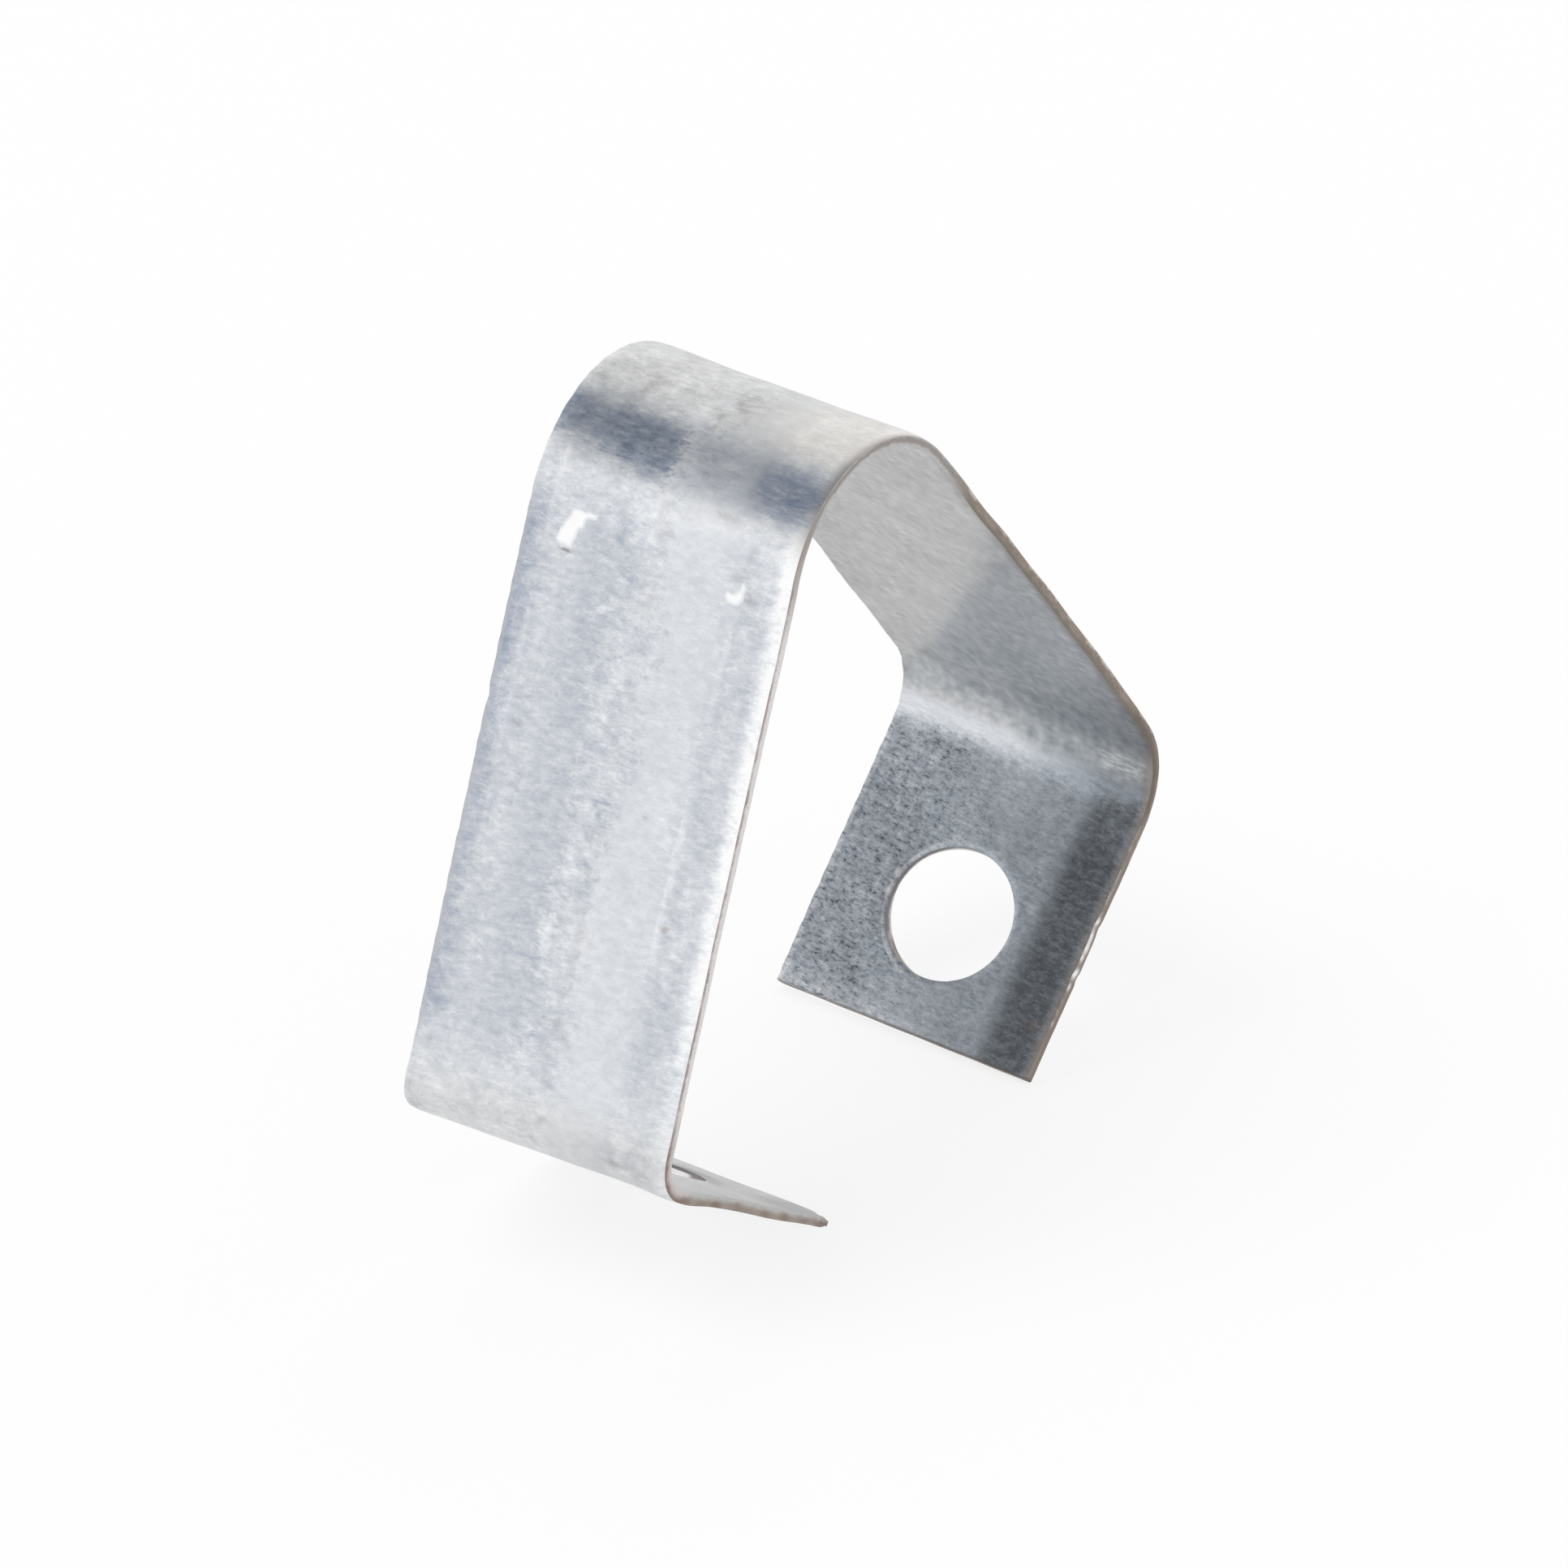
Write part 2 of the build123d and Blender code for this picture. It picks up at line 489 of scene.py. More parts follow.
class Value:
    """A number made by a node. Sums, differences, products and quotients add nodes."""

    def __init__(self, nodes, socket):
        self.nodes, self.socket = nodes, socket

    def __add__(self, other):
        return self.nodes.math("ADD", self, other)

    def __sub__(self, other):
        return self.nodes.math("SUBTRACT", self, other)

    def __rsub__(self, other):
        return self.nodes.math("SUBTRACT", other, self)

    def __mul__(self, other):
        return self.nodes.math("MULTIPLY", self, other)

    def __truediv__(self, other):
        return self.nodes.math("DIVIDE", self, other)

    def __abs__(self):
        return self.nodes.math("ABSOLUTE", self)

    __radd__ = __add__


def rise(value, low, high, start=0.0, stop=1.0):
    """A smooth change from start to stop as value goes from low to high."""
    inputs = dict(enumerate((value, low, high, start, stop)))
    node = value.nodes.node("ShaderNodeMapRange", inputs, interpolation_type="SMOOTHSTEP")
    return Value(value.nodes, node.outputs[0])


def band(value, low, high, soft):
    """1 between low and high, with soft flanks."""
    up = rise(value, low - soft / 2, low + soft / 2)
    return up * rise(value, high - soft / 2, high + soft / 2, 1.0, 0.0)


def swing(noise, amount):
    """Noise turned into a number that goes up and down round zero."""
    return (noise - 0.5) * amount


def total(*values):
    result = values[0]
    for value in values[1:]:
        result += value
    return result


class Nodes:
    """Makes and joins nodes. An input takes a number, a colour, a Value or a node's socket."""

    def __init__(self, tree):
        self.tree = tree

    def node(self, kind, inputs=None, **settings):
        """Add a node. Inputs gives values for its sockets, by name or number."""
        node = self.tree.nodes.new(kind)
        for name, setting in settings.items():
            setattr(node, name, setting)
        for socket, value in (inputs or {}).items():
            self.join(value, node.inputs[socket])
        return node

    def join(self, value, socket):
        if isinstance(value, Value):
            value = value.socket
        if isinstance(value, bpy.types.NodeSocket):
            self.tree.links.new(value, socket)
        else:
            socket.default_value = value

    def math(self, operation, *values):
        node = self.node("ShaderNodeMath", dict(enumerate(values)), operation=operation)
        return Value(self, node.outputs[0])


def new_material(name):
    """A material with no nodes yet."""
    material = bpy.data.materials.new(name)
    material.use_nodes = True
    material.node_tree.nodes.clear()
    return material


class Graph(Nodes):
    """The nodes of a material that is painted by the place on the strap, in mm."""

    def __init__(self, name):
        self.material = new_material(name)
        super().__init__(self.material.node_tree)
        self.place = self.node("ShaderNodeAttribute", attribute_name="place").outputs["Vector"]
        parts = self.node("ShaderNodeSeparateXYZ", {0: self.place})
        self.across, self.along, self.height = (Value(self, part) for part in parts.outputs)

    def noise(self, size, stretch=(1, 1), turn=0, seed=0, detail=2, roughness=0.5, distortion=0):
        """Noise with grains of about a size in mm, stretched across and along."""
        inputs = {"Vector": self.place, "Angle": turn}
        turned_place = self.node("ShaderNodeVectorRotate", inputs, rotation_type="Z_AXIS")
        inputs = {
            "Vector": turned_place.outputs[0],
            "Location": (seed * 3.7, seed * 1.9, seed),
            "Scale": (1 / (size * stretch[0]), 1 / (size * stretch[1]), 1 / size),
        }
        mapping = self.node("ShaderNodeMapping", inputs)
        inputs = {
            "Vector": mapping.outputs[0], "Scale": 1.0, "Detail": detail, "Roughness": roughness,
            "Distortion": distortion,
        }
        return Value(self, self.node("ShaderNodeTexNoise", inputs, noise_dimensions="3D").outputs[0])

    def tones(self, level, colours):
        """The colour for a level on a screen, between the listed levels and colours."""
        node = self.node("ShaderNodeValToRGB", {0: level / 255})
        stops = node.color_ramp.elements
        while len(stops) < len(colours):
            stops.new(0.5)
        for stop, shade in zip(stops, colours):
            stop.position = shade[0] / 255
        for stop, shade in zip(stops, colours):
            stop.color = display(shade)
        return node.outputs[0]

    def mix(self, factor, first, second):
        inputs = {0: factor, 6: first, 7: second}
        return self.node("ShaderNodeMix", inputs, data_type="RGBA").outputs[2]

    def spot(self, across, along, half_across, half_along, wobble, strength):
        """A soft patch round a place, with an uneven outline."""
        x = (self.across - across) / half_across
        y = (self.along - along) / half_along
        reach = self.math("SQRT", x * x + y * y)
        return rise(reach + wobble, 0.0, 1.35, strength, 0.0)

    def from_hole(self, along):
        """Distance from the rim of an ear's hole."""
        x = self.across - HOLE_DRIFT / MM
        y = self.along - along
        return self.math("SQRT", x * x + y * y) - HOLE_RADIUS / MM

    def paint(self, colour, factor):
        """Lay a colour over what is there, by a factor."""
        self.colour = self.mix(factor, self.colour, display(colour))

    def paint_marks(self, marks, wobble):
        """Lay small marks over what is there, with uneven outlines."""
        for across, along, half_across, half_along, colour, strength in marks:
            self.paint(colour, self.spot(across, along, half_across, half_along, wobble, strength))

    def finish(self, metallic, roughness, bump=None, bump_depth=0.0):
        """Make the shader, and return the material."""
        inputs = {"Base Color": self.colour, "Metallic": metallic, "Roughness": roughness}
        if bump is not None:
            shape = {"Strength": 1.0, "Distance": bump_depth, "Height": bump}
            inputs["Normal"] = self.node("ShaderNodeBump", shape).outputs[0]
        shader = self.node("ShaderNodeBsdfPrincipled", inputs)
        self.node("ShaderNodeOutputMaterial", {0: shader.outputs[0]})
        return self.material


# Tones of zinc, as red, green and blue on a screen. In a list, the first is also the level.
COOL_ZINC = [
    (130, 141, 158), (160, 169, 185), (185, 190, 200), (203, 207, 213), (218, 221, 226), (235, 237, 240),
    (252, 252, 253),
]
WARM_ZINC = [
    (100, 100, 101), (160, 160, 162), (187, 187, 187), (208, 208, 207), (222, 221, 218), (235, 234, 231),
    (252, 251, 250),
]
GREY_ZINC = [
    (90, 94, 98), (150, 156, 161), (178, 183, 187), (196, 197, 199), (215, 215, 217), (245, 245, 247),
]
EAR_ZINC = [
    (45, 48, 52), (100, 104, 108), (135, 141, 148), (165, 172, 180), (190, 195, 202), (225, 227, 231),
    (250, 250, 251),
]
BRIGHT_ZINC = (250, 250, 250)
DULL_ZINC = (150, 152, 156)
INK_ZINC = (150, 160, 178)
# Smudges, and the painted shadow below the large fleck
SMUDGE_AND_SHADOW = (140, 137, 134)
BROWN = (150, 132, 120)
BLUE_ZINC = (138, 156, 188)
CREAM = (236, 228, 220)

# Tones of the cut edges: bare steel, the zinc smeared over it, and painted shade and highlight in the
# holes
TAN = (160, 149, 140)
UMBER = (140, 127, 116)
DARK = (112, 102, 93)
STONE = (158, 153, 150)
ROSE = (156, 137, 133)
PALE = (208, 205, 203)
LIGHT = (226, 223, 222)
LIP = (192, 192, 191)
CHALK = (250, 249, 248)
SPOT = (132, 110, 98)
RIM_SHADOW = (108, 107, 112)
MOSS = (122, 120, 112)
RUST = (158, 134, 116)

# Marks on the outer face: across, along, half width, half length, colour and strength
OUTER_MARKS = [
    (-0.4, -2.1, 0.35, 0.7, SMUDGE_AND_SHADOW, 0.3), (0.1, -1.1, 0.4, 0.55, SMUDGE_AND_SHADOW, 0.55),
    (0.8, -0.35, 0.9, 0.3, SMUDGE_AND_SHADOW, 0.35), (-0.1, 1.2, 0.35, 0.5, SMUDGE_AND_SHADOW, 0.3),
    (0.1, 2, 0.4, 0.4, SMUDGE_AND_SHADOW, 0.45), (-11.2, 1.2, 1.6, 0.35, SMUDGE_AND_SHADOW, 0.3),
    (-11.3, -0.1, 1.3, 0.3, SMUDGE_AND_SHADOW, 0.22), (-8.4, -1.8, 0.5, 0.35, BROWN, 0.22),
    (-10.4, -1.1, 0.9, 0.7, SMUDGE_AND_SHADOW, 0.15), (5.2, 8.2, 1.2, 0.35, SMUDGE_AND_SHADOW, 0.3),
    # The first mark on the next line is a painted shadow below the large fleck
    (-8.5, 14.78, 0.75, 0.2, SMUDGE_AND_SHADOW, 0.9), (9, 13.2, 0.7, 1, SMUDGE_AND_SHADOW, 0.35),
    (7.6, 12.1, 0.8, 0.6, SMUDGE_AND_SHADOW, 0.15), (-3.6, 12, 0.9, 1.6, INK_ZINC, 0.3),
    (-1.8, 15.2, 0.8, 0.35, INK_ZINC, 0.4), (-3.8, 18.2, 0.4, 0.35, BRIGHT_ZINC, 0.5),
    (2.4, 18.3, 0.4, 0.3, BROWN, 0.25), (7.1, 18.4, 0.5, 0.6, BRIGHT_ZINC, 0.35),
    (-9.1, 29.3, 0.4, 0.3, DULL_ZINC, 0.4), (0.2, 32.9, 0.8, 0.3, INK_ZINC, 0.55),
    (-0.7, 33.2, 0.35, 0.5, INK_ZINC, 0.6), (-0.2, 34.1, 0.35, 0.6, INK_ZINC, 0.6),
    (1, 32.1, 0.4, 0.35, BRIGHT_ZINC, 0.35), (4.1, 33, 0.4, 0.35, SMUDGE_AND_SHADOW, 0.3),
    (-0.3, 36, 0.3, 0.7, BROWN, 0.16), (-0.4, 37.4, 0.6, 0.3, BRIGHT_ZINC, 0.4),
    (-0.3, 38.3, 0.5, 0.3, INK_ZINC, 0.45), (8.1, 41.1, 0.6, 0.4, BROWN, 0.4),
    (-3, 42.8, 0.5, 0.5, INK_ZINC, 0.3), (-2.5, 44.1, 0.4, 0.7, BRIGHT_ZINC, 0.5),
    (1.6, 44.3, 0.4, 0.6, BROWN, 0.18), (-5.4, 45.7, 0.6, 0.3, INK_ZINC, 0.35),
    (0.3, 51.1, 0.6, 0.5, BROWN, 0.18), (0.3, 56.1, 0.8, 0.35, INK_ZINC, 0.25),
    (-11.1, 55.7, 0.35, 0.3, BROWN, 0.25), (0.8, 59, 0.9, 0.3, DULL_ZINC, 0.3),
    (0, 60.6, 0.5, 0.4, DULL_ZINC, 0.35), (8, 60.2, 1.8, 0.3, DULL_ZINC, 0.35),
    (-9.6, 59.1, 1.6, 0.2, BRIGHT_ZINC, 0.35), (-11.8, 61, 0.9, 0.5, DULL_ZINC, 0.4),
]

# Marks on the inner face of the back ear and the back leg
INNER_MARKS = [
    (-6.4, -81.2, 0.3, 0.5, BRIGHT_ZINC, 0.7), (-6.4, -79.6, 0.3, 0.5, BRIGHT_ZINC, 0.6),
    (-6.2, -80.4, 0.2, 0.3, DULL_ZINC, 0.8), (11.4, -87, 0.8, 0.6, BROWN, 0.3),
    (-4.6, -71.9, 0.5, 0.25, INK_ZINC, 0.3), (-10, -86, 0.5, 0.7, BRIGHT_ZINC, 0.15),
    (-9, -74.2, 0.3, 0.25, BRIGHT_ZINC, 0.35), (-11, -85.4, 0.25, 0.25, BRIGHT_ZINC, 0.4),
    (9.6, -36, 1, 1.5, SMUDGE_AND_SHADOW, 0.2), (2, -60.5, 1.2, 1.2, SMUDGE_AND_SHADOW, 0.2),
    (-9.3, -43, 0.5, 0.8, SMUDGE_AND_SHADOW, 0.2),
]

# Spots on the front ear's slit edge: along, half length and strength
EAR_EDGE_SPOTS = [
    (63.5, 1.2, 0.6), (65.9, 1.1, 0.4), (68.2, 1, 0.75), (71.6, 1.3, 0.4), (73.4, 0.8, 0.25),
    (76.2, 1, 0.6), (79.3, 0.9, 0.6), (82.4, 1.1, 0.35), (85.2, 1.6, 0.5),
]

# White nicks in the back ear's slit edge: along, half length, height of their top and strength
EAR_EDGE_NICKS = [
    (-79, 1.8, 0.5, 0.75), (-77, 0.45, 0.45, 0.9), (-78.3, 0.35, 0.3, 0.8), (-79.4, 0.4, 0.55, 0.7),
    (-80.3, 0.35, 0.35, 0.8), (-81.7, 0.6, 0.6, 1), (-82.9, 0.4, 0.35, 0.7), (-86.3, 0.4, 0.3, 0.3),
]

# Depths of the bumps
GRAIN_BUMP = 0.003 * MM
CUT_BUMP = 0.004 * MM

# The diagonal on the back leg's inner face, below which a reflection of the back ear is painted
MIRROR_SLOPE = 1 / 1.41
MIRROR_START = 33.1


def outer_columns(across, along, mottle, clouds, x):
    """Levels of the bluish columns along the legs. x is the place across, made ragged."""
    return total(
        rise(x, 2, -2.4, 0, -10),
        band(x, -7, -2.7, 2.2) * rise(clouds, 0.34, 0.6, -2, -14),
        band(across, -11.4, -9.8, 1.2) * -5,
        rise(across + swing(mottle, 3), -10.4, -12.3, 0, -26) * rise(along, 24, 34, 1.25, 0.85),
        rise(x, 6, 8.4, 0, -8),
        band(across, 8.2, 8.9, 0.6) * -4,
        band(along, 46, 56, 5) * rise(x, 5.5, 9, 0, -6),
    )


def outer_lights(graph, mottle):
    """Levels of the light streaks along the leg, and of the bright right edge, a painted highlight."""
    across, along, reach = graph.across, graph.along, abs(graph.along)
    patchy = rise(graph.noise(1.8, stretch=(0.5, 2.2), seed=6), 0.38, 0.6)
    streak = band(along, 28, 40, 4) * 16 + band(along, 40.5, 47, 2) * 11 + band(along, 16.5, 25, 3) * 6
    off_streak = abs(across - (along * -0.02 + 8.35))
    light_line = band(across, -10.75, -10.3, 0.35) * rise(along, 8, 14, 10, 5)
    # The bright right edge is a painted highlight, on top of what the rolled edge really reflects
    rim = rise(across + swing(mottle, 0.35), 10.7, 12.4, 0, 42) * rise(reach, 44, 57, 1, 0.35)
    return total(
        rise(off_streak, 0.1, 0.6, 1, 0) * patchy * streak,
        light_line * band(along, 6.5, 40, 3),
        rim * rise(reach, 2, 8.6, 0.15, 1),
    )


def seat_band(across, along, streaks, grit):
    """The ragged place along round the seat, and the levels of its dark band, a painted reflection."""
    x = across + swing(streaks, 2.2) + swing(grit, 1.5)
    slant = rise(across, -12, -2, 0.5, -0.4) + rise(x, -1.4, -0.2, 0, 1.1)
    s = along + swing(streaks, 2.2) + rise(along, 4, 6) * slant
    late = rise(across, 5, 8, 0, -0.5)
    early = rise(across, 6, 9, 0, -0.4)
    painted_dark_band = rise(s + late, 2.1, 4) * rise(s + early, 5.7, 8, 1, 0)
    calm = rise(x, -1.8, -0.4, 1, 0.6) + rise(x, 5.6, 6.9, 0, 1)
    depth = total(
        rise(x, -0.8, -1.8, -6, -54),
        rise(x, 5.6, 6.9, 0, -34),
        band(across, -6.4, -3.5, 1.5) * -12,
        band(across, -10.2, -8, 1) * 7,
        rise(across, 11.9, 12.5) * 22,
        (swing(streaks, 82) + swing(grit, 26)) * calm,
    )
    return s, painted_dark_band * depth


def outer_zinc():
    """The outer face: mottled pale zinc, bluer in columns on the legs, with a painted reflection over the
    seat.
    """
    graph = Graph("galvanized_outer")
    across, along = graph.across, graph.along
    reach = abs(along)
    clouds = graph.noise(4.4, stretch=(0.75, 1.35), seed=1, roughness=0.7)
    mottle = graph.noise(1.15, stretch=(1.35, 0.8), seed=2, detail=4, roughness=0.85, distortion=0.5)
    streaks = graph.noise(0.8, stretch=(3, 0.6), seed=3, detail=3, roughness=0.75, distortion=0.3)
    grit = graph.noise(0.8, stretch=(1.6, 0.7), turn=0.06, seed=4, roughness=0.9)
    x = across + swing(mottle, 7) + swing(clouds, 5)
    leg = rise(reach, 7.5, 14) * rise(reach, 52, 58, 1, 0)
    level = 217 + outer_columns(across, along, mottle, clouds, x) * leg + outer_lights(graph, mottle)
    level += rise(along, 56.5, 60) * rise(across, -2, 9, -2, -11)
    level += band(reach, 7.6, 9.9, 1.6) * rise(across, -3, 1, 5, 12)

    # Soft mottling everywhere, weaker in the middle and low down
    liveliness = (1 - band(x, 1.4, 6.8, 1.6) * 0.45) * rise(reach, 52, 57, 1, 0.85)
    level += liveliness * (swing(clouds, 40) + swing(mottle, 74) + swing(grit, 66))

    # The seat's top is a little darker and warmer, behind the painted dark band
    top = rise(along, 3.2, 0.6) * rise(along, -16, -8)
    top_level = rise(across, 4.5, 7.5, -8, -6) + band(across, -2, 6, 2) * -4
    level += top * (top_level + swing(clouds, 18))
    # A band round the seat is painted darker: a painted reflection, on top of what the metal really
    # reflects there
    s, painted_dark_band = seat_band(across, along, streaks, grit)
    level += painted_dark_band

    warmth = graph.math("MAXIMUM", top * rise(clouds, 0.3, 0.6, 1, 0.7), rise(along, 55, 60, 0, 0.5))
    graph.colour = graph.mix(warmth, graph.tones(level, COOL_ZINC), graph.tones(level, WARM_ZINC))
    # The painted reflection over the seat is painted bluer as well
    blueness = rise(across, -1.8, 0.2, 0, 0.1) + rise(across, 4, 10, 0, 0.15)
    graph.paint(BLUE_ZINC, band(s, 3.2, 7.9, 1.6) * blueness)
    graph.paint(LIP, leg * rise(across, -12.05, -12.5, 0, 0.4))
    graph.paint(CREAM, top * rise(across, 2, 9, 0, 0.32))

    # A faint brownish seam
    off_seam = abs(across + swing(mottle, 2.4) - rise(along, 7, 14, -0.8, 0.4))
    seam = rise(off_seam, 0.15, 0.7, 1, 0) * band(along, 7.5, 55, 2)
    graph.paint(BROWN, seam * rise(clouds, 0.4, 0.62, 0.02, 0.13))
    graph.paint_marks(OUTER_MARKS, swing(mottle, 2.2))

    # Over the seat the right rim, where it rolls down to the slit edge, is painted grey-brown: a painted
    # shade
    rolled = rise(across + swing(grit, 0.5), 11.7, 12.7, 0, 0.85)
    graph.paint(STONE, rolled * rise(along, 9, 4) * rise(along, -24, -12, 0.5, 1))
    return graph.finish(1, rise(mottle, 0.3, 0.7, 0.34, 0.4), bump=grit, bump_depth=GRAIN_BUMP)


def inner_leg_colour(graph, clouds):
    """The legs' inner face, painted bluer and darker below the diagonal: a painted reflection of the back
    ear.
    """
    across, along = graph.across, graph.along
    soft = graph.noise(1.2, stretch=(0.8, 1.2), seed=26, detail=1)
    dust = graph.noise(0.6, stretch=(1.4, 0.8), seed=27, detail=0)
    below = across - (along * MIRROR_SLOPE + MIRROR_START)
    # Below the diagonal, the painted reflection of the back ear
    mirrored = rise(below, -0.5, 2)
    painted_reflection_level = total(
        rise(along, -56.5, -48, -4, 13), rise(along, -46, -34, 0, 10), swing(soft, 22), swing(dust, 12)
    )
    front_hole = rise(graph.from_hole(FRONT.hole / MM), 2.2, 0.4)
    # Beside the back fold the leg is painted lighter to the left, a painted highlight, and darker to the
    # right, a painted shade
    level = total(
        176,
        rise(across, 2, -4) * rise(below, -1, 1) * rise(along, -54.5, -59, 0, 18),
        rise(across, 2, -3) * rise(along, -63.2, -64.8, 0, 11),
        band(across, -8, -3, 2) * (rise(along, -61.4, -63, 0, -13) + rise(along, -63.2, -64.8, 0, 11)),
        rise(across, 11, 12.2) * rise(along, -62.8, -64, 0, -8),
        rise(across, -6, -9, 0, -8),
        rise(along, -59, -62.5) * rise(across, -1, 9, 0, -15),
        rise(across, 11.4, 12.5, 0, -14),
        rise(across, 11, 12.2, 0, 12) * band(along, -62.5, -58.5, 1.5),
        rise(across, 10.6, 12.2, 0, 12) * band(along, -33.5, -27, 1.5),
        rise(along, 54, 62, 0, 11),
        rise(along, 77, 82.5) * rise(across, 7, 10.5, 0, -40),
        front_hole * rise(along, 76, 79) * rise(across, -1, 1, 0, -50),
        swing(clouds, 34) + swing(soft, 44) + swing(dust, 26),
        mirrored * painted_reflection_level,
    )
    painted_reflection_tint = rise(below, -2.5, 1.5) * rise(along, -20, -36, 0, 0.9) * rise(across, 7, 12.3, 1, 0.4)
    return graph.mix(painted_reflection_tint, graph.tones(level, WARM_ZINC), graph.tones(level, GREY_ZINC))


def back_ear_level(across, along, s, clouds, medium, blotch, grain, brushed):
    """Levels of the speckled back ear, with a painted shade darker along its right side."""
    x = across + swing(medium, 1.8) + swing(grain, 1.4)
    left = rise(x + swing(clouds, 10), 1, -7)
    # The darker stripe down the right side is a painted shade
    shaded_stripe = rise(x, 6.4, 8.9) * rise(s, -63.8, -68.6)
    pits = rise(grain, 0.48, 0.34) * rise(blotch, 0.42, 0.62, -46, -8)
    speckle = total(
        swing(grain, 126), swing(blotch, 58), swing(medium, 60), swing(brushed, 52), swing(clouds, 12)
    )
    return total(
        162,
        band(x, -3.4, 2.4, 2) * 9,
        band(across, -8.4, -4.8, 1.2) * -6,
        rise(along, -74, -69, 0, 9),
        rise(along, -88.3, -90.8) * rise(across, -9, 6, 18, 0),
        shaded_stripe * -56,
        rise(across, 11.5, 12.4) * shaded_stripe * 24,
        band(across, -7.8, -7.5, 0.3) * band(along, -85, -69.5, 2) * 12,
        rise(across, -12.05, -12.4, 0, 26),
        rise(along + swing(grain, 0.6), -90.4, -90.8) * rise(across, -2, 8, 13, 6),
        speckle * (0.9 + left * 0.4),
        left * pits,
        left * 4,
    )


def back_fold(across, s, leg_side, medium, grain, brushed):
    """The painted highlight along the fold before the back ear, on top of what its curve reflects: where
    it is, and its levels.
    """
    ear_side = s + rise(across, -8.5, -11, 0, 0.4) + rise(across, -6, 1, 0, -0.35)
    ear_side += rise(across, 1, 5, 0, -0.25)
    fold = rise(ear_side, -68.5, -66.1) * rise(leg_side, -65.7, -64.8, 1, 0)
    level = total(
        rise(across, -1.5, 3.5, 215, 183),
        rise(across, 3.5, 8.5, 0, -44),
        rise(across, 11.4, 12.4, 0, -12),
        swing(brushed, 64) + swing(medium, 30) + swing(grain, 40),
    )
    return fold, level


def inner_zinc():
    """The inner face: grey on the legs, blue-grey and speckled on the back ear."""
    graph = Graph("galvanized_inner")
    across, along = graph.across, graph.along
    clouds = graph.noise(4.2, seed=21, roughness=0.7)
    medium = graph.noise(1.5, stretch=(1.4, 0.8), seed=22, detail=3, roughness=0.8)
    blotch = graph.noise(0.85, stretch=(1.2, 0.85), seed=24, roughness=0.7)
    grain = graph.noise(0.5, stretch=(1.5, 0.75), turn=0.12, seed=23, detail=3, roughness=0.9)
    brushed = graph.noise(0.5, stretch=(5, 0.7), turn=0.05, seed=25, detail=3, roughness=0.8)
    s = along + swing(medium, 1.6)
    leg_side = s + rise(across, -3, 4, -0.6, 0)
    ear = rise(leg_side, -64.9, -66.4)

    # The fold gets a painted highlight. Its right end is darker, and a light arc lies round the left of
    # the hole
    level = back_ear_level(across, along, s, clouds, medium, blotch, grain, brushed)
    fold, fold_highlight_level = back_fold(across, s, leg_side, medium, grain, brushed)
    level += fold * (fold_highlight_level - level)
    level += rise(across, 10.4, 12) * band(along, -68.8, -66.6, 0.8) * -17
    halo = band(graph.from_hole(BACK.spin * BACK.hole / MM), 0.2, 0.58, 0.2)
    level += halo * rise(across, -1, -5, 6, 44) * rise(along, -75.5, -78.5, 0.4, 1)
    graph.colour = graph.mix(ear, inner_leg_colour(graph, clouds), graph.tones(level, EAR_ZINC))
    # A painted highlight: bright streaks just below the fold, at the right
    painted_glint = band(s, -65, -63.4, 0.8) * band(across, 6.5, 11.8, 1.5)
    graph.paint(BRIGHT_ZINC, painted_glint * rise(brushed, 0.45, 0.6, 0, 0.3))
    graph.paint_marks(INNER_MARKS, swing(medium, 1.6))

    # Tan at the right edge and the front ear's end, and dark at the back ear's end
    graph.paint(TAN, rise(across, 11.8, 12.6, 0, 0.5))
    graph.paint(TAN, rise(along, 85.9, 86.3, 0, 0.5))
    graph.paint(DARK, rise(along, -91.2, -91.42) * rise(across, -9, 3, 0.4, 0.75))
    roughness = 0.28 + rise(along, -60, -68, 0, 0.1) + ear * swing(medium, 0.1)
    metallic = rise(along, -62, -67, 0.6, 1)
    return graph.finish(metallic, roughness, bump=blotch * ear, bump_depth=GRAIN_BUMP)


def bright_zinc():
    """The flecks: bright inside and fading into the leg's zinc at their outlines."""
    graph = Graph("bright_zinc")
    # On a fleck, height is the depth inside its outline
    level = rise(graph.height, -0.12, 0.5, 214, 252) + swing(graph.noise(0.9, seed=31), 14)
    graph.colour = graph.tones(level, COOL_ZINC)
    return graph.finish(1, 0.4)


def paint_back_leg_edge(graph, lip, patches, medium):
    """Tan and brown in patches, darkest along the inner lip and at the fold."""
    along = graph.along
    leg = rise(along, -11, -18)
    graph.paint(UMBER, leg * rise(patches, 0.38, 0.6, 0.1, 0.95))
    graph.paint(MOSS, leg * rise(lip, 0.44, 0.16, 0, 0.75))
    graph.paint(RUST, leg * rise(medium, 0.5, 0.66) * rise(lip, 0.3, 0.6, 0, 0.5))
    graph.paint(PALE, leg * rise(lip, 0.62, 0.85, 0, 0.75) * rise(patches, 0.46, 0.6))
    graph.paint(DARK, band(along, -68, -56, 4) * rise(lip, 0.9, 0.3, 0.15, 0.75))


def paint_seat_edge(graph, lip):
    """Greyer and softer, and light along both lips."""
    seat = rise(graph.along, -20, -11) * rise(graph.along, 9, 4)
    graph.paint(STONE, seat * 0.85)
    graph.paint(LIP, seat * rise(lip, 0.42, 0.12))
    graph.paint(LIP, seat * rise(lip, 0.62, 0.9, 0, 0.7))


